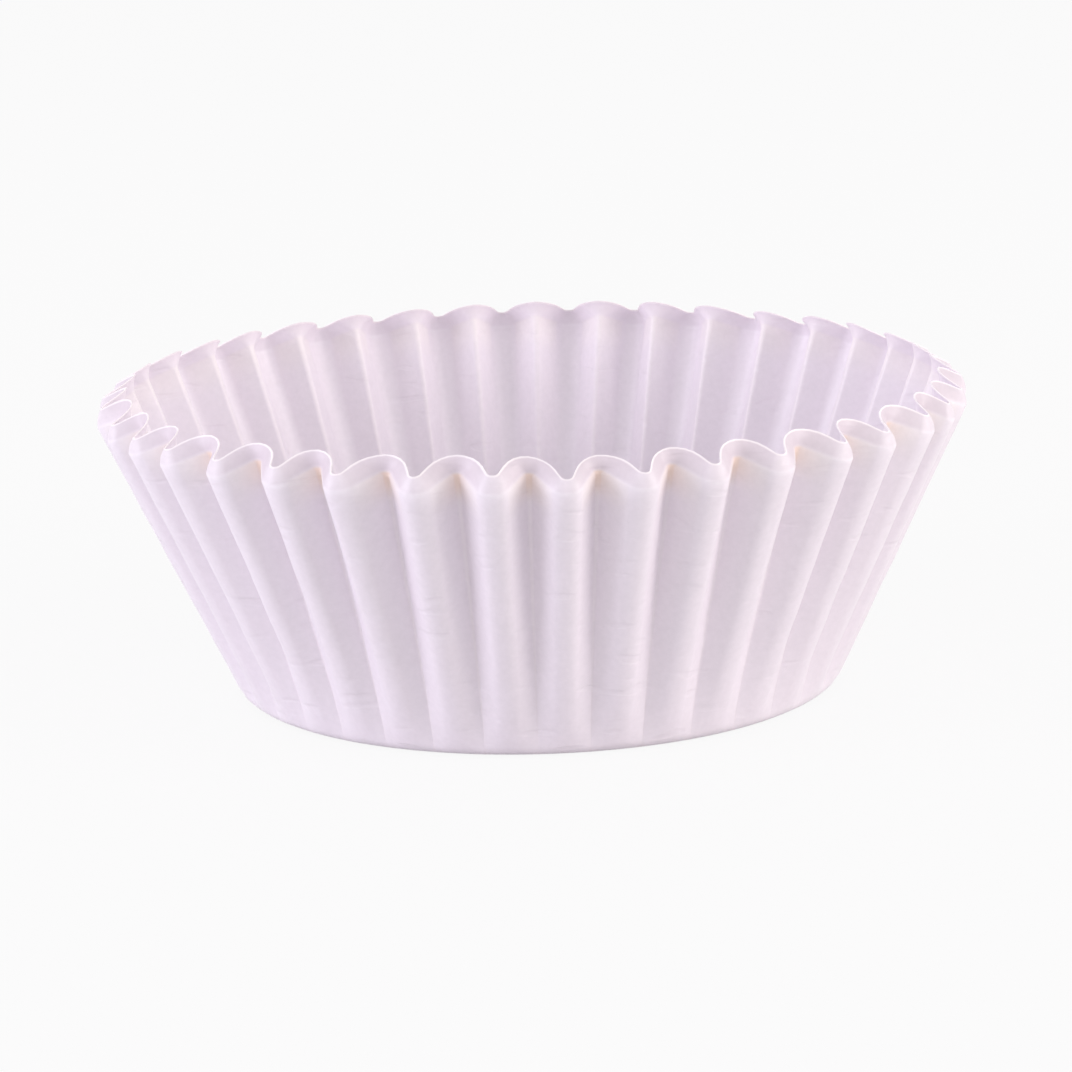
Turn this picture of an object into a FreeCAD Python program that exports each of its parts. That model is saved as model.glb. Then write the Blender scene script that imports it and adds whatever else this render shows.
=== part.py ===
"""A pleated paper cupcake liner, pressed from one flat disc of greaseproof paper.

The paper is one sheet all over: a flat round base, a small rounded corner, a flared wall
of pleats that start from nothing at the corner and grow deeper towards the top, and a
narrow lip above a pressed crease, which leans in a little and ends in a wavy edge.
Z is the axis of the liner, and the base rests on Z = 0. Sizes are in millimetres.

Four sketches hold the wavy section of half a pleat: at the foot and the middle of the
wall, at the crease and at the edge. The sheet of paper is then closed from flat facets,
as folded paper is, because each groove starts from a single point at the corner and all
its facets meet there.
"""
import FreeCAD, Part
import math
import os

import Sketcher
from FreeCAD import Placement, Rotation, Vector

NODE = "pleated_liner"

# Driving sizes: name, value and what it measures (millimetres, and degrees for the angles)
SIZES = [
    ("paper_thickness", 0.1, "thickness of the paper"),
    ("flat_diameter", 48.3, "flat disc that rests on the table"),
    ("corner_radius", 1.6, "outer radius of the rounded corner round the base"),
    ("wall_lean", 25.0, "angle of the outer folds from upright"),
    ("wall_slant", 24.8, "length of an outer fold from the corner to the crease"),
    ("pleat_count", 38, "number of pleats round the wall"),
    ("foot_rise", 3.7, "way from the corner up to the foot section, along an outer fold"),
    ("foot_depth", 0.92, "depth of a pleat at the foot, square to the wall"),
    ("foot_flank", 1.2, "straight stretch between the two folds at the foot"),
    ("foot_valley_radius", 0.2, "outer radius of the narrow inner fold at the foot"),
    ("middle_rise", 12.2, "way from the corner up to the middle section, the same way"),
    ("middle_depth", 1.78, "depth of a pleat at the middle, square to the wall"),
    ("middle_flank", 1.7, "straight stretch between the two folds at the middle"),
    ("middle_valley_radius", 0.25, "outer radius of the narrow inner fold at the middle"),
    ("crease_depth", 2.75, "depth of a pleat at the crease, square to the wall"),
    ("crease_flank", 2.3, "straight stretch between the two folds at the crease"),
    ("crease_valley_radius", 0.35, "outer radius of the narrow inner fold at the crease"),
    ("lip_width", 1.5, "width of the lip above the crease, along an outer fold"),
    ("lip_lean_in", 14.5, "angle of the lip from upright, towards the axis"),
    ("rim_tilt", 28.6, "angle of the wavy edge from level, highest at the inner folds"),
    ("rim_depth", 2.55, "depth of a pleat at the edge, along that tilt"),
    ("rim_flank", 0.9, "straight stretch between the two folds at the edge"),
    ("rim_valley_radius", 2.3, "outer radius of the broad inner fold at the edge"),
]

# Places that follow from the driving sizes, as formulas of the sheet
CORNER_REACH = "(Sizes.flat_diameter / 2 + Sizes.corner_radius * cos(Sizes.wall_lean))"
CORNER_HEIGHT = "(Sizes.corner_radius * (1 - sin(Sizes.wall_lean)))"
CREASE_REACH = f"({CORNER_REACH} + Sizes.wall_slant * sin(Sizes.wall_lean))"
CREASE_HEIGHT = f"({CORNER_HEIGHT} + Sizes.wall_slant * cos(Sizes.wall_lean))"
HALF_PLEAT = "(180 / Sizes.pleat_count)"

# Sections from the corner upwards: name, reach and height of the outer fold, and tilt
SECTIONS = [
    ("foot", f"({CORNER_REACH} + Sizes.foot_rise * sin(Sizes.wall_lean))",
     f"({CORNER_HEIGHT} + Sizes.foot_rise * cos(Sizes.wall_lean))", "Sizes.wall_lean"),
    ("middle", f"({CORNER_REACH} + Sizes.middle_rise * sin(Sizes.wall_lean))",
     f"({CORNER_HEIGHT} + Sizes.middle_rise * cos(Sizes.wall_lean))", "Sizes.wall_lean"),
    ("crease", CREASE_REACH, CREASE_HEIGHT, "Sizes.wall_lean"),
    ("rim", f"({CREASE_REACH} - Sizes.lip_width * sin(Sizes.lip_lean_in))",
     f"({CREASE_HEIGHT} + Sizes.lip_width * cos(Sizes.lip_lean_in))", "Sizes.rim_tilt"),
]

# Flat facets that stand for each rounded stretch of paper
OUTER_FOLD_FACETS = 4
INNER_FOLD_FACETS = 3
CORNER_FACETS = 3


def make_sheet(doc):
    """Write the driving sizes into a spreadsheet, one named cell each."""
    sheet = doc.addObject("Spreadsheet::Sheet", "Sizes")
    for row, (name, size, meaning) in enumerate(SIZES, start=1):
        sheet.set(f"A{row}", name)
        sheet.set(f"B{row}", str(size))
        sheet.set(f"C{row}", meaning)
        sheet.setAlias(f"B{row}", name)
    doc.recompute()
    return sheet


def value(sheet, formula):
    """Return the number that a formula of the sheet gives."""
    result = sheet.evalExpression(formula)
    return getattr(result, "Value", result)


def arc(centre, radius, start, end):
    """Return an arc of a sketch, turning left from its start angle to its end, in radians."""
    circle = Part.Circle(centre, Vector(0, 0, 1), radius)
    return Part.ArcOfCircle(circle, start, end)


def fix(sketch, *constraint):
    """Add a sketch constraint that has no size."""
    sketch.addConstraint(Sketcher.Constraint(*constraint))


def drive(sketch, formula, size, *constraint):
    """Add a sketch dimension of this size and bind it to a formula of the sheet."""
    index = sketch.addConstraint(Sketcher.Constraint(*constraint, size))
    sketch.setExpression(f"Constraints[{index}]", formula)


def half_pleat_section(doc, sheet, name, reach, height, tilt):
    """Sketch the paper's section from the middle of an outer fold to the middle of an inner one.

    The sketch's origin is the top of the outer fold. Its X axis points away from the
    liner's axis and leans down by the tilt, so that the inner folds stand higher. An
    outer fold, a straight flank and an inner fold follow each other smoothly, and the
    inner fold ends on a plane through the liner's axis, where the next pleat begins.
    The outer fold is as round as the depth and the flank leave room for.
    Returns the sketch with the numbers of its three curves, for the outer skin and then
    for the inner one.
    """
    sketch = doc.addObject("Sketcher::SketchObject", f"{name.capitalize()}Section")
    sketch.Placement = Placement(
        Vector(value(sheet, reach), 0, value(sheet, height)),
        Rotation(Vector(0, 1, 0), value(sheet, tilt)))
    sketch.setExpression("Placement.Base.x", reach)
    sketch.setExpression("Placement.Base.z", height)
    sketch.setExpression("Placement.Rotation.Angle", tilt)

    paper = value(sheet, "Sizes.paper_thickness")
    deep = value(sheet, f"Sizes.{name}_depth")
    flank_length = value(sheet, f"Sizes.{name}_flank")
    inner_radius = value(sheet, f"Sizes.{name}_valley_radius")
    axis_away = f"({reach} / cos({tilt}))"
    side_rise = f"({reach} * tan({HALF_PLEAT}))"
    away = value(sheet, axis_away)
    rise = value(sheet, side_rise)
    side = math.atan2(rise, away)

    side_point = Vector(-deep, (away - deep) * math.tan(side))
    inner_centre = side_point + Vector(math.cos(side), math.sin(side)) * inner_radius
    outer_radius = ((inner_centre.Length ** 2 - inner_radius ** 2 - flank_length ** 2)
                    / (2 * (inner_radius - inner_centre.x)))
    outer_centre = Vector(-outer_radius, 0)
    link = inner_centre - outer_centre
    turn = math.atan2(link.y, link.x) - math.atan2(flank_length, outer_radius + inner_radius)
    flank_normal = Vector(math.cos(turn), math.sin(turn))

    guide = sketch.addGeometry(Part.LineSegment(Vector(-away, 0), Vector(0, rise)), True)
    fix(sketch, "PointOnObject", guide, 1, -1)
    fix(sketch, "PointOnObject", guide, 2, -2)
    drive(sketch, axis_away, away, "DistanceX", guide, 1, -1, 1)
    drive(sketch, side_rise, rise, "DistanceY", -1, 1, guide, 2)

    skins = []
    for skin in (0, paper):
        crest = sketch.addGeometry(arc(outer_centre, outer_radius - skin, 0, turn))
        flank = sketch.addGeometry(Part.LineSegment(
            outer_centre + flank_normal * (outer_radius - skin),
            inner_centre - flank_normal * (inner_radius + skin)))
        valley = sketch.addGeometry(
            arc(inner_centre, inner_radius + skin, math.pi + side, math.pi + turn))
        fix(sketch, "Tangent", crest, 2, flank, 1)
        fix(sketch, "Tangent", flank, 2, valley, 2)
        fix(sketch, "PointOnObject", valley, 1, guide)
        skins.append((crest, flank, valley))
    (crest, flank, valley), (crest_inside, flank_inside, valley_inside) = skins
    fix(sketch, "PointOnObject", crest, 3, -1)
    fix(sketch, "PointOnObject", valley, 3, guide)
    fix(sketch, "Coincident", crest, 1, -1, 1)
    fix(sketch, "Coincident", crest_inside, 3, crest, 3)
    fix(sketch, "Coincident", valley_inside, 3, valley, 3)
    drive(sketch, "Sizes.paper_thickness", paper, "DistanceX", crest_inside, 1, crest, 1)
    fix(sketch, "PointOnObject", crest_inside, 1, -1)
    drive(sketch, f"Sizes.{name}_flank", flank_length, "Distance", flank)
    drive(sketch, f"Sizes.{name}_valley_radius", inner_radius, "Radius", valley)
    drive(sketch, f"Sizes.{name}_depth", deep, "DistanceX", valley, 1, -1, 1)
    drive(sketch, f"Sizes.{name}_valley_radius + Sizes.paper_thickness",
          inner_radius + paper, "Radius", valley_inside)
    return sketch, skins


def section_points(section):
    """Return the section's corner points in space, one list for each skin of the paper."""
    sketch, skins = section
    lists = []
    for crest, flank, valley in skins:
        points = sketch.Geometry[crest].toShape().discretize(OUTER_FOLD_FACETS + 1)
        inner_fold = sketch.Geometry[valley].toShape().discretize(INNER_FOLD_FACETS + 1)
        points += reversed(inner_fold)
        lists.append([sketch.Placement.multVec(spot) for spot in points])
    return lists


def turned(spot, degrees):
    """Return a point turned about the liner's axis."""
    return Rotation(Vector(0, 0, 1), degrees).multVec(spot)


def pleat_wave(half, turn, half_pleat):
    """Return the points of one whole wave, from an outer fold's middle to the next one's."""
    rising = [turned(spot, turn) for spot in half]
    falling = [turned(Vector(spot.x, -spot.y, spot.z), turn + 2 * half_pleat) for spot in half]
    return rising + falling[-2::-1]


def facet(*corners):
    """Return one flat facet of paper with these corners."""
    return Part.Face(Part.makePolygon(corners + corners[:1]))


def strip(lower, upper):
    """Return the facets between two lines of points, two for each step along them."""
    facets = []
    corners = list(zip(lower, upper))
    for (low, high), (next_low, next_high) in zip(corners, corners[1:]):
        facets.append(facet(low, next_low, next_high))
        facets.append(facet(low, next_high, high))
    return facets


def corner_steps(sheet, skin):
    """Return the reach and height of the rounded corner's points, from base to wall."""
    flat = value(sheet, "Sizes.flat_diameter / 2")
    radius = value(sheet, "Sizes.corner_radius")
    whole_turn = math.radians(90 - value(sheet, "Sizes.wall_lean"))
    steps = []
    for index in range(CORNER_FACETS + 1):
        turn = whole_turn * index / CORNER_FACETS
        steps.append(Vector(flat + (radius - skin) * math.sin(turn), 0,
                            radius - (radius - skin) * math.cos(turn)))
    return steps


def make_paper(sheet, sections):
    """Close the whole sheet of paper, with an outer and an inner skin, as one solid."""
    half_pleat = value(sheet, HALF_PLEAT)
    pleats = round(value(sheet, "Sizes.pleat_count"))
    turns = [2 * half_pleat * pleat for pleat in range(pleats)]
    thickness = (0, value(sheet, "Sizes.paper_thickness"))
    facets = []
    edges = []
    for skin, halves in zip(thickness, zip(*[section_points(made) for made in sections])):
        steps = corner_steps(sheet, skin)
        facets.append(facet(*[turned(steps[0], turn + half_pleat) for turn in turns]))
        rims = []
        for turn in turns:
            left, right = turn - half_pleat, turn + half_pleat
            for low, high in zip(steps, steps[1:]):
                facets.append(facet(turned(low, left), turned(low, right),
                                    turned(high, right), turned(high, left)))
            waves = [pleat_wave(half, turn, half_pleat) for half in halves]
            foot = waves[0]
            start = turned(steps[-1], right)
            facets.append(facet(turned(steps[-1], left), start, foot[0]))
            for near, far in zip(foot, foot[1:]):
                facets.append(facet(start, far, near))
            for lower, upper in zip(waves, waves[1:]):
                facets += strip(lower, upper)
            rims.append(waves[-1])
        edges.append(rims)
    for outer, inner in zip(*edges):
        for index in range(len(outer) - 1):
            facets.append(facet(outer[index], outer[index + 1],
                                inner[index + 1], inner[index]))
    shell = Part.Compound(facets)
    shell.sewShape()
    return Part.Solid(shell.Shells[0])


def check(doc):
    """Stop if any object of the document failed, or has no valid shape."""
    for item in doc.Objects:
        if any(state in ("Invalid", "Error") for state in item.State):
            raise RuntimeError(f"{item.Label} failed: {item.State}")
        if hasattr(item, "Shape") and (item.Shape.isNull() or not item.Shape.isValid()):
            raise RuntimeError(f"{item.Label} has no valid shape")


def main():
    """Build the liner in a document of its own and write its one solid as STEP."""
    doc = FreeCAD.newDocument("cupcake_liner")
    sheet = make_sheet(doc)
    sections = [half_pleat_section(doc, sheet, *section) for section in SECTIONS]
    doc.recompute()

    liner = doc.addObject("Part::Feature", "Liner")
    liner.Label = NODE
    liner.Shape = make_paper(sheet, sections)
    liner.Placement = Placement()
    doc.recompute()
    check(doc)

    os.makedirs("parts", exist_ok=True)
    liner.Shape.exportStep(os.path.join("parts", f"{liner.Label}.step"))


main()
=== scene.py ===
"""A pleated paper cupcake liner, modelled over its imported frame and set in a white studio.

The paper is one sheet: a flat round base, a rounded corner, a flared wall of pleats and a
narrow lip above a pressed crease. Lengths are written in millimetres and kept in metres.
"""
import math
import random

import bpy
import numpy as np
from bpy.props import FloatProperty, IntProperty, PointerProperty, StringProperty
from bpy.types import Operator, Panel, PropertyGroup
from mathutils import Euler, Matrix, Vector


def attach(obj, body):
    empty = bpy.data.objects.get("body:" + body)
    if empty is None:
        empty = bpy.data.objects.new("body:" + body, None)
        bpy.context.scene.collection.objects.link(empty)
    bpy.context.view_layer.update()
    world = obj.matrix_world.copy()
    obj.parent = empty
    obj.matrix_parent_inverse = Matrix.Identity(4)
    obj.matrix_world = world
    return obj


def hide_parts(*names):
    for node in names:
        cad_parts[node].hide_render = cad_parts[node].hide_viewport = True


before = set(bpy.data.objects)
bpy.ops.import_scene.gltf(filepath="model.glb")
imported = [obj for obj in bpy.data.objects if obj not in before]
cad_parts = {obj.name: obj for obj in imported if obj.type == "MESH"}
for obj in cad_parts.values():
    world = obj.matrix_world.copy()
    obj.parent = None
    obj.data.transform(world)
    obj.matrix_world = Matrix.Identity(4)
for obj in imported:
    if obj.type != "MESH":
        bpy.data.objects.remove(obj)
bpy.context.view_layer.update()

bl_info = {
    "name": "Pleated Cupcake Liner",
    "version": (1, 0, 0),
    "blender": (4, 5, 0),
    "location": "View3D > Sidebar > Liner",
    "description": "Builds a pleated paper cupcake liner and a white studio round it",
    "category": "Object",
}

# One millimetre in metres, and the CAD node that the paper stands for
MM = 0.001
NODE = "pleated_liner"

# Points along each stretch of half a pleat, and rows up each part of the paper
CREST_STEPS = 7
FLANK_STEPS = 3
VALLEY_STEPS = 4
HALF_STEPS = CREST_STEPS + FLANK_STEPS + VALLEY_STEPS
PLEAT_STEPS = 2 * HALF_STEPS
CORNER_ROWS = 6
WALL_ROWS = 22
LIP_ROWS = 8
BASE_RINGS = 3

# Rows of the wall stand closer together towards its foot, by this power
WALL_ROW_POWER = 1.25
# The middle of the base is one flat face, out to this share of its radius
BASE_MIDDLE = 0.55
# An outer fold is added up in this many short steps for each point that is kept
FINE_STEPS = 12
# An outer fold turns by less than this, and its turn is found by halving the range
STEEPEST_TURN = math.radians(88)
HALVINGS = 40
# Waves round the liner and up its wall that make the cockle, and what evens out their sum
COCKLE_WAVES = ((5, 1.3), (9, 2.1), (17, 2.9), (31, 4.3), (57, 6.1))
COCKLE_SUM = 3
# Bends sharper than this keep a crisp line in the smooth shading
SHARP_ANGLE = math.radians(50)

# Soft bands over the paper, which mask its painted shade and highlights: the field that each
# follows, where it starts and ends on it, and its strength before and after. The fold field runs
# from 0 on an outer fold to 1 on an inner one. The rise field is below 0 on the base, 0 at its
# edge, 1 at the crease and 2 at the top. A pocket is an inner fold with the flanks beside it.
BANDS = {
    "deep": ("fold", 0.62, 1.0, 0.0, 1.0),
    "flank": ("fold", 0.35, 0.6, 0.0, 1.0),
    "pocket": ("fold", 0.5, 0.92, 0.0, 1.0),
    "lip_fold": ("fold", 0.2, 0.8, 0.45, 1.0),
    "outer": ("fold", 0.15, 0.5, 0.4, 0.0),
    "near_crease": ("rise", 0.88, 0.98, 0.0, 0.3),
    "under_lip": ("rise", 0.9, 0.99, 0.0, 1.0),
    "before_lip": ("rise", 1.02, 1.25, 1.0, 0.0),
    "above_crease": ("rise", 1.0, 1.3, 0.0, 1.0),
    "crease_low": ("rise", 0.99, 1.0, 0.0, 1.0),
    "crease_high": ("rise", 1.0, 1.2, 1.0, 0.0),
}
# Places that take painted light or shade, each where all of its bands meet: a painted creamy
# highlight on the flanks under the crease, painted beige shade with bounced light in the pockets
# under the lip, painted shade on the lip, and a painted highlight along the crease
PLACES = {
    "cream_highlight": ("near_crease", "before_lip", "flank"),
    "warm_shade": ("under_lip", "outside", "before_lip", "pocket"),
    "lip": ("above_crease", "lip_fold", "outside"),
    "crease": ("crease_low", "crease_high", "outer"),
}
# Where the painted highlight along the cut edge starts and ends on the rise field
EDGE_HIGHLIGHT_BAND = (1.88, 1.96)
# Height of the press marks, the faint dents and the fibres
MARK_DEPTH = 0.05 * MM
DENT_DEPTH = 0.05 * MM
FIBRE_DEPTH = 0.006 * MM
# The press marks lie aslant, and are wider than they are high
MARK_SLANT = math.radians(28)
MARK_SQUEEZE = (0.4, 0.4, 1.6)

# Lamps: name, place and size in metres, the setting for the power, and the colour
LAMPS = (
    ("lamp_left", (-0.6, -0.2, 0.17), 0.36, "side_light", "F4F0FF"),
    ("lamp_right", (0.6, -0.2, 0.17), 0.36, "side_light", "FFF8F4"),
    ("lamp_top", (0, -0.1, 0.6), 0.5, "top_light", "FFFFFF"),
)
# The room's light fades from eye level to straight above between these heights of the view
ROOM_FADE = (0.1, 0.9)
# Half the floor's width, and how far it lies below the base so that the two never share a plane
FLOOR_REACH = 2.0
FLOOR_DROP = 0.02 * MM
# Width of the camera's film in millimetres, and the nearest thing that it sees, in metres
FILM_WIDTH = 36.0
NEAREST = 0.01


class LinerShape(PropertyGroup):
    """Sizes of the pleated paper."""

    pleats: IntProperty(
        name="Pleats", description="Pleats round the wall", default=38, min=8)
    thickness: FloatProperty(
        name="Paper thickness", description="Thickness of the paper",
        default=0.1 * MM, unit="LENGTH", precision=5)
    flat_diameter: FloatProperty(
        name="Flat base", description="Diameter of the flat disc that rests on the table",
        default=48.3 * MM, unit="LENGTH", precision=4)
    corner_radius: FloatProperty(
        name="Corner radius", description="Outer radius of the corner round the base",
        default=1.6 * MM, unit="LENGTH", precision=4)
    wall_lean: FloatProperty(
        name="Wall lean", description="Angle of the outer folds from upright",
        default=math.radians(25.0), subtype="ANGLE", unit="ROTATION")
    wall_slant: FloatProperty(
        name="Wall slant", description="Length of an outer fold from the corner to the crease",
        default=24.8 * MM, unit="LENGTH", precision=4)
    crease_depth: FloatProperty(
        name="Pleat depth", description="Depth of a pleat at the crease, square to the wall",
        default=2.75 * MM, unit="LENGTH", precision=5)
    depth_growth: FloatProperty(
        name="Depth growth", description="Power by which the pleats deepen up the wall",
        default=0.67, min=0.2, max=2.0)
    groove_start: FloatProperty(
        name="Groove start", description="Way round the corner at which the grooves start",
        default=1.0 * MM, unit="LENGTH", precision=5)
    soft_start: FloatProperty(
        name="Soft start", description="Added radius of an inner fold where its groove starts",
        default=0.9 * MM, unit="LENGTH", precision=5)
    fold_squareness: FloatProperty(
        name="Fold squareness",
        description="How far the outer folds bend at their shoulders and lie flat between",
        default=1.2, min=1.0, max=3.0)
    foot_flank: FloatProperty(
        name="Flank at the foot", description="Straight stretch between two folds at the foot",
        default=0.9 * MM, unit="LENGTH", precision=5)
    crease_flank: FloatProperty(
        name="Flank at the crease",
        description="Straight stretch between two folds at the crease",
        default=2.3 * MM, unit="LENGTH", precision=5)
    flank_growth: FloatProperty(
        name="Flank growth", description="Power by which the flank lengthens up the wall",
        default=0.9, min=0.5, max=6.0)
    foot_valley_radius: FloatProperty(
        name="Inner fold at the foot", description="Radius of the inner fold at the foot",
        default=0.17 * MM, unit="LENGTH", precision=5)
    crease_valley_radius: FloatProperty(
        name="Inner fold at the crease", description="Radius of the inner fold at the crease",
        default=0.35 * MM, unit="LENGTH", precision=5)
    lip_width: FloatProperty(
        name="Lip width", description="Width of the lip above the crease",
        default=1.5 * MM, unit="LENGTH", precision=5)
    lip_lean_in: FloatProperty(
        name="Lip lean", description="Mean angle of the lip from upright, towards the axis",
        default=math.radians(14.5), subtype="ANGLE", unit="ROTATION")
    lip_curl: FloatProperty(
        name="Lip curl", description="Angle by which the lip bends further in towards its edge",
        default=math.radians(36.0), subtype="ANGLE", unit="ROTATION")
    rim_tilt: FloatProperty(
        name="Edge tilt", description="Angle of the wavy edge from level",
        default=math.radians(28.6), subtype="ANGLE", unit="ROTATION")
    rim_depth: FloatProperty(
        name="Edge depth", description="Depth of a pleat at the edge, along that tilt",
        default=2.55 * MM, unit="LENGTH", precision=5)
    rim_flank: FloatProperty(
        name="Flank at the edge", description="Straight stretch between two folds at the edge",
        default=0.9 * MM, unit="LENGTH", precision=5)
    rim_valley_radius: FloatProperty(
        name="Inner fold at the edge", description="Radius of the broad inner fold at the edge",
        default=2.3 * MM, unit="LENGTH", precision=5)
    pleat_stray: FloatProperty(
        name="Pleat stray", description="How far the folds stray sideways at the edge",
        default=0.22 * MM, unit="LENGTH", precision=5)
    depth_stray: FloatProperty(
        name="Depth stray", description="How far the inner folds stray in depth at the edge",
        default=0.14 * MM, unit="LENGTH", precision=5)
    height_stray: FloatProperty(
        name="Height stray", description="How far the edge strays in height",
        default=0.1 * MM, unit="LENGTH", precision=5)
    cockle: FloatProperty(
        name="Cockle", description="Height of the soft unevenness of the pressed wall",
        default=0.05 * MM, unit="LENGTH", precision=5)
    seed: IntProperty(
        name="Seed", description="Seed of the unevenness from pleat to pleat", default=7)


class PaperFinish(PropertyGroup):
    """Colours and finish of the paper."""

    paper_hex: StringProperty(
        name="Paper", description="sRGB colour of the bleached paper", default="EAE2EA")
    # Painted shade deep in the inner folds
    fold_shade_hex: StringProperty(
        name="Inner folds", description="sRGB colour deep in the inner folds", default="EAE1E8")
    # Painted beige shade with bounced light, in the inner folds under the lip
    warm_shade_hex: StringProperty(
        name="Warm tint", description="sRGB tint of the inner folds under the lip",
        default="EAD5CC")
    # Painted creamy highlight on the flanks just under the crease
    cream_highlight_hex: StringProperty(
        name="Cream tint", description="sRGB tint of the flanks just under the crease",
        default="F1E9E4")
    # Painted shade on the lip where it leans in over the inner folds
    lip_shade_hex: StringProperty(
        name="Lip", description="sRGB colour of the lip where it leans in over the inner folds",
        default="D6CAD3")
    # Painted highlight along the crease
    crease_highlight_hex: StringProperty(
        name="Crease", description="sRGB colour of the highlit line of the crease",
        default="F1EBF2")
    # Painted highlight along the cut edge
    edge_highlight_hex: StringProperty(
        name="Cut edge", description="sRGB colour of the clean cut edge", default="F2EAEE")
    roughness: FloatProperty(
        name="Roughness", description="Roughness of the calendered surface",
        default=0.42, min=0.0, max=1.0)
    fibre_mm: FloatProperty(
        name="Fibre size", description="Width of the cloudy fibre pattern, in mm",
        default=0.5, min=0.05)
    cockle_mm: FloatProperty(
        name="Cockle size", description="Width of the faint dents left by the press, in mm",
        default=3.5, min=0.5)
    mark_mm: FloatProperty(
        name="Press marks", description="Width of the short slanted marks of the press, in mm",
        default=1.4, min=0.2)


class StudioSettings(PropertyGroup):
    """Camera, lamps and floor."""

    view_azimuth: FloatProperty(
        name="Azimuth", description="Turn of the camera round the liner",
        default=math.radians(0.81), subtype="ANGLE", unit="ROTATION")
    view_elevation: FloatProperty(
        name="Elevation", description="How far the camera looks down on the liner",
        default=math.radians(13.1), subtype="ANGLE", unit="ROTATION")
    view_roll: FloatProperty(
        name="Roll", description="Roll of the camera; below zero it lifts the liner's right side",
        default=math.radians(-1.7), subtype="ANGLE", unit="ROTATION")
    view_height: FloatProperty(
        name="Middle", description="Height of the point that the camera and the lamps look at",
        default=12 * MM, unit="LENGTH", precision=4)
    view_distance: FloatProperty(
        name="Distance", description="Camera to the middle of the liner",
        default=346 * MM, unit="LENGTH")
    frame_width: FloatProperty(
        name="Frame width", description="Width that the picture takes in at the liner",
        default=90 * MM, unit="LENGTH")
    side_light: FloatProperty(
        name="Side light", description="Power of each side lamp in watts",
        default=2.1, min=0.0)
    top_light: FloatProperty(
        name="Top light", description="Power of the top lamp in watts", default=0.1, min=0.0)
    room_light: FloatProperty(
        name="Room light", description="Strength of the soft white room light at eye level",
        default=1.11, min=0.0)
    ceiling_light: FloatProperty(
        name="Ceiling light", description="Strength of the room light from straight above",
        default=0.7, min=0.0)
    floor_hex: StringProperty(
        name="Floor", description="sRGB colour of the matt floor", default="CECBCD")
    floor_glow: FloatProperty(
        name="Floor glow", description="Share of plain white in the floor that the camera sees",
        default=0.9, min=0.0, max=1.0)


def linear(hex_text):
    """Return the linear colour of an sRGB hex value, with alpha."""
    parts = [int(hex_text[i:i + 2], 16) / 255 for i in (0, 2, 4)]
    return [p / 12.92 if p <= 0.04045 else ((p + 0.055) / 1.055) ** 2.4 for p in parts] + [1.0]


def per_metre(size_mm):
    """Return the texture scale at which a pattern is this wide in millimetres."""
    return 1.0 / (size_mm * MM)


def add_node(tree, kind, settings=None, inputs=None, links=None):
    """Add a node with its settings, input values and incoming links, and return it."""
    node = tree.nodes.new(kind)
    for name, setting in (settings or {}).items():
        setattr(node, name, setting)
    for socket, setting in (inputs or {}).items():
        node.inputs[socket].default_value = setting
    for socket, source in (links or {}).items():
        tree.links.new(source, node.inputs[socket])
    return node


def new_material(name):
    """Return an empty node material with its output node."""
    material = bpy.data.materials.new(name)
    material.use_nodes = True
    material.node_tree.nodes.clear()
    return material, add_node(material.node_tree, "ShaderNodeOutputMaterial")


def fold_line(turn, squareness):
    """Return points of an outer fold of unit length, from its middle to its shoulder.

    It turns by the given angle in all, ever faster towards the shoulder.
    """
    count = CREST_STEPS * FINE_STEPS
    shares = (np.arange(count) + 0.5) / count
    turns = turn * shares ** squareness
    steps = np.stack([-np.sin(turns), np.cos(turns)], axis=1) / count
    return np.concatenate([[[0.0, 0.0]], np.cumsum(steps, axis=0)])[::FINE_STEPS]


def half_pleat(reach, height, tilt, depth, flank, valley_radius, squareness, turn_per_pleat):
    """Return points of half a pleat, from the middle of an outer fold to that of an inner one.

    The section lies in a plane that leans by the tilt. An outer fold, a straight flank
    and a round inner fold follow each other smoothly, and the outer fold turns as far as
    leaves the flank its length.
    """
    side = math.atan(math.cos(tilt) * math.tan(turn_per_pleat / 2))
    side_y = (reach - depth * math.cos(tilt)) * math.tan(turn_per_pleat / 2)
    centre = np.array([-depth + math.cos(side) * valley_radius,
                       side_y + math.sin(side) * valley_radius])
    least, most = 0.0, STEEPEST_TURN
    for _ in range(HALVINGS):
        turn = (least + most) / 2
        unit_fold = fold_line(turn, squareness)
        along = np.array([-math.sin(turn), math.cos(turn)])
        valley_start = centre - valley_radius * np.array([math.cos(turn), math.sin(turn)])
        lengths = np.linalg.solve(np.column_stack([unit_fold[-1], along]), valley_start)
        if lengths[1] > flank:
            least = turn
        else:
            most = turn
    crest = unit_fold * lengths[0]
    valley_turns = np.linspace(turn, side, VALLEY_STEPS + 1)
    valley = centre - valley_radius * np.stack([np.cos(valley_turns), np.sin(valley_turns)], axis=1)
    shares = np.linspace(0, 1, FLANK_STEPS + 1)[1:-1, None]
    straight = crest[-1] + (valley[0] - crest[-1]) * shares
    flat = np.concatenate([crest, straight, valley])
    return np.stack([reach + flat[:, 0] * math.cos(tilt), flat[:, 1],
                     height - flat[:, 0] * math.sin(tilt)], axis=1)


def plain_row(reach, height, turn_per_pleat):
    """Return points of a round row below the grooves, spread evenly over half a pleat."""
    turns = np.linspace(0, turn_per_pleat / 2, HALF_STEPS + 1)
    return np.stack([reach * np.cos(turns), reach * np.sin(turns), 0 * turns + height], axis=1)


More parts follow.
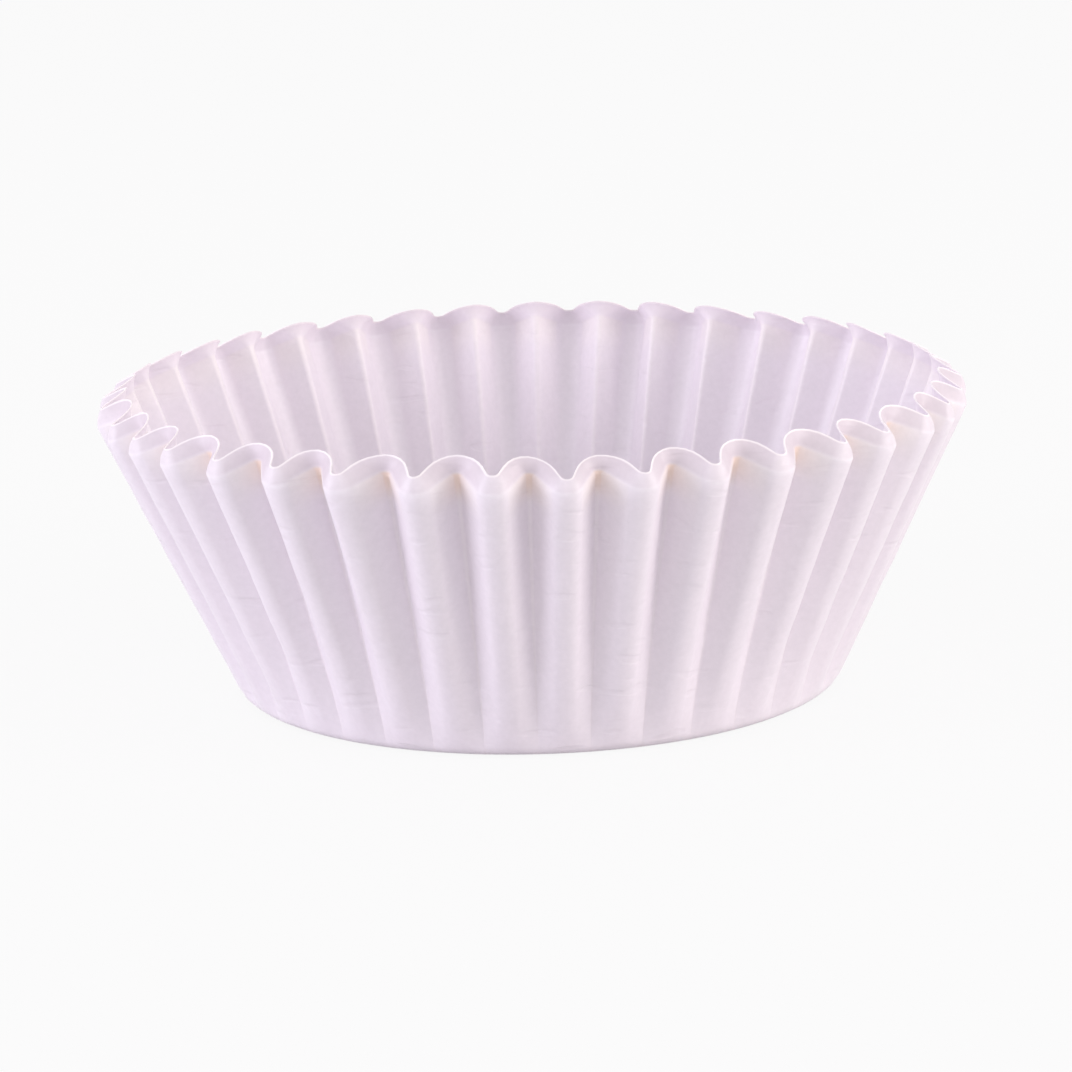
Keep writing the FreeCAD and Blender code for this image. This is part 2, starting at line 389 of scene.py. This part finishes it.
def pressed_rows(shape):
    """Return the rows of half a pleat from the base up, each with its place up the paper.

    The place is 0 at the edge of the flat base, 1 at the crease and 2 at the lip's edge.
    """
    flat = shape.flat_diameter / 2
    corner_turn = math.pi / 2 - shape.wall_lean
    corner_way = shape.corner_radius * corner_turn
    whole_way = corner_way + shape.wall_slant
    turn_per_pleat = 2 * math.pi / shape.pleats
    corner_reach = flat + shape.corner_radius * math.cos(shape.wall_lean)
    corner_height = shape.corner_radius * (1 - math.sin(shape.wall_lean))
    corner_ways = np.linspace(0, corner_way, CORNER_ROWS + 1)[1:-1]
    wall_shares = np.linspace(0, 1, WALL_ROWS + 1) ** WALL_ROW_POWER
    wall_ways = corner_way + shape.wall_slant * wall_shares
    rows = []
    for way in np.concatenate([corner_ways, wall_ways]):
        share = way / whole_way
        bend = min(way / shape.corner_radius, corner_turn)
        beyond = max(way - corner_way, 0)
        reach = flat + shape.corner_radius * math.sin(bend) + beyond * math.sin(shape.wall_lean)
        height = (shape.corner_radius * (1 - math.cos(bend))
                  + beyond * math.cos(shape.wall_lean))
        if way < shape.groove_start:
            rows.append((share, plain_row(reach, height, turn_per_pleat)))
            continue
        grown = (way - shape.groove_start) / (whole_way - shape.groove_start)
        depth = shape.crease_depth * grown ** shape.depth_growth
        flank = (shape.foot_flank
                 + (shape.crease_flank - shape.foot_flank) * share ** shape.flank_growth)
        flank *= min(1, way / corner_way)
        valley = (shape.foot_valley_radius
                  + (shape.crease_valley_radius - shape.foot_valley_radius) * share
                  + shape.soft_start * max(1 - way / corner_way, 0))
        rows.append((share, half_pleat(reach, height, math.pi / 2 - bend, depth, flank,
                                       valley, shape.fold_squareness, turn_per_pleat)))
    reach = corner_reach + shape.wall_slant * math.sin(shape.wall_lean)
    height = corner_height + shape.wall_slant * math.cos(shape.wall_lean)
    step = shape.lip_width / LIP_ROWS
    for row in range(1, LIP_ROWS + 1):
        share = row / LIP_ROWS
        lean_in = shape.lip_lean_in + shape.lip_curl * ((row - 0.5) / LIP_ROWS - 0.5)
        reach -= step * math.sin(lean_in)
        height += step * math.cos(lean_in)
        mixed = [low + (high - low) * share for low, high in (
            (shape.wall_lean, shape.rim_tilt), (shape.crease_depth, shape.rim_depth),
            (shape.crease_flank, shape.rim_flank),
            (shape.crease_valley_radius, shape.rim_valley_radius),
            (shape.fold_squareness, 1.0))]
        rows.append((1 + share, half_pleat(reach, height, *mixed, turn_per_pleat)))
    return rows


def whole_wave(half, turn_per_pleat):
    """Return the reach, turn and height of one whole pleat, from outer fold to outer fold."""
    reach = np.hypot(half[:, 0], half[:, 1])
    turn = np.arctan2(half[:, 1], half[:, 0])
    return (np.concatenate([reach, reach[-2:0:-1]]),
            np.concatenate([turn, turn_per_pleat - turn[-2:0:-1]]),
            np.concatenate([half[:, 2], half[-2:0:-1, 2]]))


def spread(values, turns):
    """Return the values, which lie evenly round the liner, smoothly spread over these turns."""
    places = turns / (2 * math.pi) * len(values)
    below = np.floor(places).astype(int)
    share = places - below
    share = share * share * (3 - 2 * share)
    return values[below % len(values)] * (1 - share) + values[(below + 1) % len(values)] * share


def soft_unevenness(turns, share, dice):
    """Return a smooth field between about -1 and 1 over the wall, for the press's cockle."""
    field = np.zeros_like(turns)
    for waves_round, waves_up in COCKLE_WAVES:
        phase = dice.uniform(0, 2 * math.pi)
        lift = dice.uniform(0, 2 * math.pi)
        swell = math.sin(2 * math.pi * waves_up * share + lift)
        field += np.sin(waves_round * turns + phase) * swell
    return field / COCKLE_SUM


def make_skin(shape):
    """Return the points, faces and two point fields of the paper's outer skin, in metres."""
    turn_per_pleat = 2 * math.pi / shape.pleats
    dice = random.Random(shape.seed)
    sideways = np.array([dice.gauss(0, 1) for _ in range(2 * shape.pleats)])
    deeper = np.array([dice.gauss(0, 1) for _ in range(shape.pleats)])
    taller = np.array([dice.gauss(0, 1) for _ in range(shape.pleats)])
    rows = pressed_rows(shape)
    crease_reach = rows[CORNER_ROWS + WALL_ROWS - 1][1][0, 0]
    fold_shares = np.linspace(0, 1, HALF_STEPS + 1)
    fold_wave = np.concatenate([fold_shares, fold_shares[-2:0:-1]])
    columns = shape.pleats * PLEAT_STEPS
    points = []
    fold = []
    rise = []

    flat = shape.flat_diameter / 2
    even = np.arange(columns) / columns * 2 * math.pi
    for ring in range(1, BASE_RINGS + 1):
        reach = flat * (BASE_MIDDLE + (1 - BASE_MIDDLE) * ring / BASE_RINGS)
        points.append(np.stack([reach * np.cos(even), reach * np.sin(even), 0 * even], axis=1))
        fold.append(np.zeros(columns))
        rise.append(np.full(columns, -1 + ring / BASE_RINGS))
    for share, half in rows:
        reach, turn, height = whole_wave(half, turn_per_pleat)
        turns = np.concatenate([turn + pleat * turn_per_pleat for pleat in range(shape.pleats)])
        reach = np.tile(reach, shape.pleats)
        height = np.tile(height, shape.pleats)
        folds = np.tile(fold_wave, shape.pleats)
        grown = min(share, 1)
        lip = max(share - 1, 0)
        shift = spread(sideways, turns) * shape.pleat_stray * grown / crease_reach
        reach = reach - folds * spread(deeper, turns) * shape.depth_stray * grown
        height = height + spread(taller, turns) * shape.height_stray * lip
        bulge = soft_unevenness(turns, share, random.Random(shape.seed + 1))
        reach = reach + bulge * shape.cockle * math.sin(math.pi * grown) ** 0.5
        points.append(np.stack([reach * np.cos(turns + shift), reach * np.sin(turns + shift),
                                height], axis=1))
        fold.append(folds)
        rise.append(np.full(columns, share))
    faces = [tuple(range(columns))[::-1]]
    for row in range(len(points) - 1):
        low, high = row * columns, (row + 1) * columns
        for column in range(columns):
            after = (column + 1) % columns
            faces.append((low + column, low + after, high + after, high + column))
    return np.concatenate(points), faces, np.concatenate(fold), np.concatenate(rise)


def greaseproof_paper(finish):
    """Bleached greaseproof paper, calendered smooth and pressed hot into pleats.

    The eye sees a pale lilac white with a soft sheen, faintly cloudy from its fibres and
    faintly dented and marked by the press. Light and shade are painted into its colour:
    painted shade deep in the inner folds, painted beige shade with bounced light in the
    pockets just under the lip, a painted creamy highlight on the flanks beside them, painted
    shade on the lip, and painted highlights along the crease and the cut edge.
    """
    material, output = new_material("Greaseproof paper, bleached and pressed")
    tree = material.node_tree
    place = add_node(tree, "ShaderNodeTexCoord")
    fields = {name: add_node(tree, "ShaderNodeAttribute", {"attribute_name": name}).outputs["Fac"]
              for name in ("fold", "rise", "inside")}
    outside = add_node(tree, "ShaderNodeMath", {"operation": "SUBTRACT"}, {0: 1.0},
                       {1: fields["inside"]})
    # Mask of the painted highlight along the cut edge
    edge = add_node(tree, "ShaderNodeMapRange", None,
                    {"From Min": EDGE_HIGHLIGHT_BAND[0], "From Max": EDGE_HIGHLIGHT_BAND[1]}, {"Value": fields["rise"]})
    shares = {"outside": outside.outputs[0], "edge": edge.outputs[0]}
    for name, (field, start, end, before, after) in BANDS.items():
        band = add_node(tree, "ShaderNodeMapRange", {"interpolation_type": "SMOOTHSTEP"},
                        {"From Min": start, "From Max": end, "To Min": before, "To Max": after},
                        {"Value": fields[field]})
        shares[name] = band.outputs[0]
    for name, bands in PLACES.items():
        shares[name] = shares[bands[0]]
        for band in bands[1:]:
            both = add_node(tree, "ShaderNodeMath", {"operation": "MULTIPLY"}, None,
                            {0: shares[name], 1: shares[band]})
            shares[name] = both.outputs[0]
    # Over the paper's colour go, one after another, painted shade deep in the inner folds, a
    # painted creamy highlight on the flanks, painted beige shade with bounced light under the lip,
    # painted shade on the lip, and painted highlights along the crease and the cut edge
    colour = None
    for name, hex_text in (("deep", finish.fold_shade_hex), ("cream_highlight", finish.cream_highlight_hex),
                           ("warm_shade", finish.warm_shade_hex), ("lip", finish.lip_shade_hex),
                           ("crease", finish.crease_highlight_hex), ("edge", finish.edge_highlight_hex)):
        below = {} if colour is None else {6: colour}
        tint = add_node(tree, "ShaderNodeMix", {"data_type": "RGBA"},
                        {6: linear(finish.paper_hex), 7: linear(hex_text)},
                        {0: shares[name], **below})
        colour = tint.outputs[2]

    # Single fibres are too fine to show in the render, so their pattern is drawn coarser
    fibre = add_node(tree, "ShaderNodeTexNoise", None,
                     {"Scale": per_metre(finish.fibre_mm), "Detail": 4.0, "Roughness": 0.6},
                     {"Vector": place.outputs["Object"]})
    cockle = add_node(tree, "ShaderNodeTexNoise", None,
                      {"Scale": per_metre(finish.cockle_mm), "Detail": 2.0},
                      {"Vector": place.outputs["Object"]})
    # The clouds of fibre change the colour by about two percent each way
    cloud = add_node(tree, "ShaderNodeMapRange", None,
                     {"From Min": 0.3, "From Max": 0.7, "To Min": 0.975, "To Max": 1.02},
                     {"Value": fibre.outputs["Fac"]})
    clouded = add_node(tree, "ShaderNodeVectorMath", {"operation": "SCALE"}, None,
                       {0: colour, "Scale": cloud.outputs[0]})
    slanted = add_node(tree, "ShaderNodeMapping", None,
                       {"Rotation": (0, MARK_SLANT, 0), "Scale": MARK_SQUEEZE},
                       {"Vector": place.outputs["Object"]})
    marks = add_node(tree, "ShaderNodeTexNoise", None,
                     {"Scale": per_metre(finish.mark_mm), "Detail": 0.0},
                     {"Vector": slanted.outputs[0]})
    # Only the peaks of this noise press into the paper, so the marks stand far apart
    mark = add_node(tree, "ShaderNodeMapRange", {"interpolation_type": "SMOOTHSTEP"},
                    {"From Min": 0.66, "From Max": 0.78}, {"Value": marks.outputs["Fac"]})
    pressed = add_node(tree, "ShaderNodeBump", {"invert": True},
                       {"Strength": 0.6, "Distance": MARK_DEPTH}, {"Height": mark.outputs[0]})
    dents = add_node(tree, "ShaderNodeBump", None, {"Strength": 0.35, "Distance": DENT_DEPTH},
                     {"Height": cockle.outputs["Fac"], "Normal": pressed.outputs[0]})
    grain = add_node(tree, "ShaderNodeBump", None, {"Strength": 0.35, "Distance": FIBRE_DEPTH},
                     {"Height": fibre.outputs["Fac"], "Normal": dents.outputs[0]})
    surface = add_node(tree, "ShaderNodeBsdfPrincipled", None,
                       {"Roughness": finish.roughness, "IOR": 1.45, "Specular IOR Level": 0.5},
                       {"Base Color": clouded.outputs[0], "Normal": grain.outputs[0]})
    tree.links.new(surface.outputs[0], output.inputs["Surface"])
    return material


class LINER_OT_paper(Operator):
    """Press the paper blank into the pleated liner"""

    bl_idname = "liner.paper"
    bl_label = "Pleated paper"

    def execute(self, context):
        shape = context.scene.liner_shape
        points, faces, fold, rise = make_skin(shape)
        mesh = bpy.data.meshes.new("pleated_paper")
        mesh.from_pydata(points.tolist(), [], faces)
        for name, field in (("fold", fold), ("rise", rise)):
            layer = mesh.attributes.new(name, "FLOAT", "POINT")
            layer.data.foreach_set("value", field.astype(np.float32))
        paper = bpy.data.objects.new("pleated_paper", mesh)
        context.collection.objects.link(paper)
        # The thickness grows inwards, and the new inner skin's points follow the outer skin's
        sheet = paper.modifiers.new("Paper thickness", "SOLIDIFY")
        sheet.thickness = shape.thickness
        sheet.offset = -1.0
        context.view_layer.update()
        seen = paper.evaluated_get(context.evaluated_depsgraph_get())
        pressed = bpy.data.meshes.new_from_object(seen)
        paper.modifiers.clear()
        paper.data = pressed
        inside = pressed.attributes.new("inside", "FLOAT", "POINT")
        inside.data.foreach_set("value", np.arange(len(pressed.vertices)) >= len(points))
        pressed.shade_smooth()
        pressed.set_sharp_from_angle(angle=SHARP_ANGLE)
        pressed.materials.clear()
        pressed.materials.append(greaseproof_paper(context.scene.liner_finish))
        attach(paper, "root")
        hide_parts(NODE)
        return {"FINISHED"}


def aim(thing, place, target, roll=0.0):
    """Put a lamp or the camera at a place, looking at the target."""
    thing.location = place
    turn = (target - place).to_track_quat("-Z", "Y")
    thing.rotation_euler = (turn.to_matrix() @ Euler((0, 0, roll)).to_matrix()).to_euler()


def add_lamp(context, name, place, target, size, power, hex_text):
    """Add a square soft lamp that looks at the target."""
    light = bpy.data.lights.new(name, "AREA")
    light.size = size
    light.energy = power
    light.color = linear(hex_text)[:3]
    lamp = bpy.data.objects.new(name, light)
    context.collection.objects.link(lamp)
    aim(lamp, Vector(place), target)


def seen_directly(tree):
    """Return a socket that is 1 where the camera sees a thing, also in a gloss or through glass."""
    path = add_node(tree, "ShaderNodeLightPath")
    either = add_node(tree, "ShaderNodeMath", {"operation": "MAXIMUM"}, None,
                      {0: path.outputs["Is Camera Ray"], 1: path.outputs["Is Glossy Ray"]})
    every = add_node(tree, "ShaderNodeMath", {"operation": "MAXIMUM"}, None,
                     {0: either.outputs[0], 1: path.outputs["Is Transmission Ray"]})
    return every.outputs[0]


def white_floor(settings):
    """Matt white studio floor, painted board, which keeps a faint soft shadow."""
    material, output = new_material("Matt white board")
    tree = material.node_tree
    board = add_node(tree, "ShaderNodeBsdfDiffuse", None, {"Color": linear(settings.floor_hex)})
    glow = add_node(tree, "ShaderNodeEmission", None, {"Strength": 1.0})
    share = add_node(tree, "ShaderNodeMath", {"operation": "MULTIPLY"},
                     {1: settings.floor_glow}, {0: seen_directly(tree)})
    mix = add_node(tree, "ShaderNodeMixShader", None, None,
                   {0: share.outputs[0], 1: board.outputs[0], 2: glow.outputs[0]})
    tree.links.new(mix.outputs[0], output.inputs["Surface"])
    return material


class LINER_OT_stage(Operator):
    """Lay the floor, set the lamps and the room's light, and place the camera"""

    bl_idname = "liner.stage"
    bl_label = "White studio"

    def execute(self, context):
        scene = context.scene
        settings = scene.liner_studio
        middle = Vector((0, 0, settings.view_height))
        mesh = bpy.data.meshes.new("floor")
        corners = [(x * FLOOR_REACH, y * FLOOR_REACH, 0)
                   for x, y in ((-1, -1), (1, -1), (1, 1), (-1, 1))]
        mesh.from_pydata(corners, [], [(0, 1, 2, 3)])
        mesh.materials.append(white_floor(settings))
        floor = bpy.data.objects.new("floor", mesh)
        context.collection.objects.link(floor)
        floor.location.z = -FLOOR_DROP

        for name, place, size, power, hex_text in LAMPS:
            add_lamp(context, name, place, middle, size, getattr(settings, power), hex_text)

        # The camera sees plain white, and the liner is lit at the room's own level
        world = bpy.data.worlds.new("Soft white room")
        world.use_nodes = True
        scene.world = world
        tree = world.node_tree
        background = tree.nodes["Background"]
        background.inputs["Color"].default_value = linear("FFFFFF")
        place = add_node(tree, "ShaderNodeTexCoord")
        way = add_node(tree, "ShaderNodeSeparateXYZ", None, None, {0: place.outputs["Generated"]})
        room = add_node(tree, "ShaderNodeMapRange", {"interpolation_type": "SMOOTHSTEP"},
                        {"From Min": ROOM_FADE[0], "From Max": ROOM_FADE[1],
                         "To Min": settings.room_light, "To Max": settings.ceiling_light},
                        {"Value": way.outputs["Z"]})
        level = add_node(tree, "ShaderNodeMapRange", None, {"To Max": 1.0},
                         {"Value": seen_directly(tree), "To Min": room.outputs[0]})
        tree.links.new(level.outputs[0], background.inputs["Strength"])

        lens = bpy.data.cameras.new("camera")
        lens.sensor_width = FILM_WIDTH
        lens.lens = lens.sensor_width * settings.view_distance / settings.frame_width
        lens.clip_start = NEAREST
        camera = bpy.data.objects.new("camera", lens)
        context.collection.objects.link(camera)
        level_way = settings.view_distance * math.cos(settings.view_elevation)
        place = middle + Vector((level_way * math.sin(settings.view_azimuth),
                                 -level_way * math.cos(settings.view_azimuth),
                                 settings.view_distance * math.sin(settings.view_elevation)))
        aim(camera, place, middle, settings.view_roll)
        scene.camera = camera
        scene.view_settings.view_transform = "Standard"
        return {"FINISHED"}


class LINER_PT_panel(Panel):
    """Sidebar panel that lists the sizes, the finish and the steps."""

    bl_idname = "LINER_PT_panel"
    bl_label = "Cupcake Liner"
    bl_space_type = "VIEW_3D"
    bl_region_type = "UI"
    bl_category = "Liner"

    def draw(self, context):
        for group in (context.scene.liner_shape, context.scene.liner_finish,
                      context.scene.liner_studio):
            box = self.layout.box()
            for name in group.__annotations__:
                box.prop(group, name)
        for step in STEPS:
            self.layout.operator(step.bl_idname)


GROUPS = {"liner_shape": LinerShape, "liner_finish": PaperFinish, "liner_studio": StudioSettings}
STEPS = (LINER_OT_paper, LINER_OT_stage)


def register():
    """Register the classes and hang the settings on the scene."""
    for cls in (*GROUPS.values(), *STEPS, LINER_PT_panel):
        bpy.utils.register_class(cls)
    for name, group in GROUPS.items():
        setattr(bpy.types.Scene, name, PointerProperty(type=group))


def unregister():
    """Take the settings and the classes away again."""
    for name in GROUPS:
        delattr(bpy.types.Scene, name)
    for cls in (LINER_PT_panel, *STEPS, *GROUPS.values()):
        bpy.utils.unregister_class(cls)


def main():
    """Build the liner and its studio."""
    register()
    bpy.ops.liner.paper()
    bpy.ops.liner.stage()


if __name__ == "__main__":
    main()
